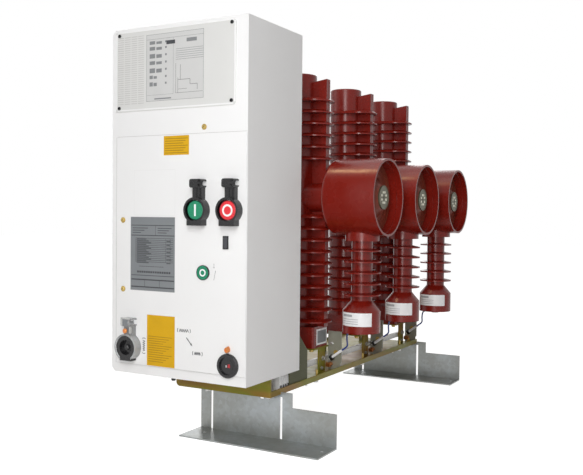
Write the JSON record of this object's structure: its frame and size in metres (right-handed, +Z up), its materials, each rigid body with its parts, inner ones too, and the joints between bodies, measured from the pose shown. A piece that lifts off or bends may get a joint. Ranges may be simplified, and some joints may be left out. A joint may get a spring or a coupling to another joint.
{
  "type": "gas insulated circuit breaker",
  "caption": "Medium voltage gas insulated breaker: tall white mechanism housing, red resin poles with cups and post insulators on a folded tray with two feet.",
  "frame": {"origin": "under the middle of the bounding box, on the floor under the feet", "axes": "+X right towards the cups, +Y back along the row of poles, +Z up"},
  "size_m": [0.4368, 1.0136, 0.831],
  "materials": {
    "galvanised": "satin",
    "chromate": "satin",
    "white_paint": "satin",
    "grey_panel": "satin",
    "black_plastic": "gloss",
    "green_plastic": "gloss",
    "red_plastic": "gloss",
    "clear_plastic": "gloss",
    "resin": "gloss",
    "resin_disc": "satin",
    "contact_metal": "satin",
    "olive_paint": "satin",
    "bracket_steel": "satin",
    "bar_steel": "satin",
    "white_plastic": "satin",
    "blue_plastic": "satin"
  },
  "bodies": {
    "breaker": {"front_foot": "galvanised", "rear_foot": "galvanised", "base_tray": "chromate", "mechanism_housing": "white_paint", "front_cover": "white_paint", "vent_panel": "grey_panel", "close_guard": "black_plastic", "open_guard": "black_plastic", "charging_socket": "black_plastic", "socket_clear_housing": "clear_plastic", "counter_window": "black_plastic", "status_indicator": "green_plastic", "lock_ring": "black_plastic", "housing_gusset": "olive_paint", "coupling_bar": "bar_steel", "terminal_block": "white_plastic", "pole_column_1": "resin", "bushing_cup_1": "resin", "cup_disc_1": "resin_disc", "contact_1": "contact_metal", "post_insulator_1": "resin", "pole_carrier_1": "chromate", "pole_bracket_1": "bracket_steel", "cable_gland_1": "black_plastic", "cable_sleeve_1": "white_plastic", "sensor_lead_1": "blue_plastic", "pole_column_2": "resin", "bushing_cup_2": "resin", "cup_disc_2": "resin_disc", "contact_2": "contact_metal", "post_insulator_2": "resin", "pole_carrier_2": "chromate", "pole_bracket_2": "bracket_steel", "cable_gland_2": "black_plastic", "cable_sleeve_2": "white_plastic", "sensor_lead_2": "blue_plastic", "pole_column_3": "resin", "bushing_cup_3": "resin", "cup_disc_3": "resin_disc", "contact_3": "contact_metal", "post_insulator_3": "resin", "pole_carrier_3": "chromate", "pole_bracket_3": "bracket_steel", "cable_gland_3": "black_plastic", "cable_sleeve_3": "white_plastic", "sensor_lead_3": "blue_plastic"},
    "close_button_body": {"close_button": "green_plastic"},
    "open_button_body": {"open_button": "red_plastic"}
  },
  "joints": [
    {"name": "close_button_press", "type": "slide", "parent": "breaker", "child": "close_button_body", "axis": [0, 1, 0], "range_m": [0, 0.005], "stiffness_N_per_m": 1200, "springref_m": -0.003},
    {"name": "open_button_press", "type": "slide", "parent": "breaker", "child": "open_button_body", "axis": [0, 1, 0], "range_m": [0, 0.005], "stiffness_N_per_m": 1200, "springref_m": -0.003}
  ]
}
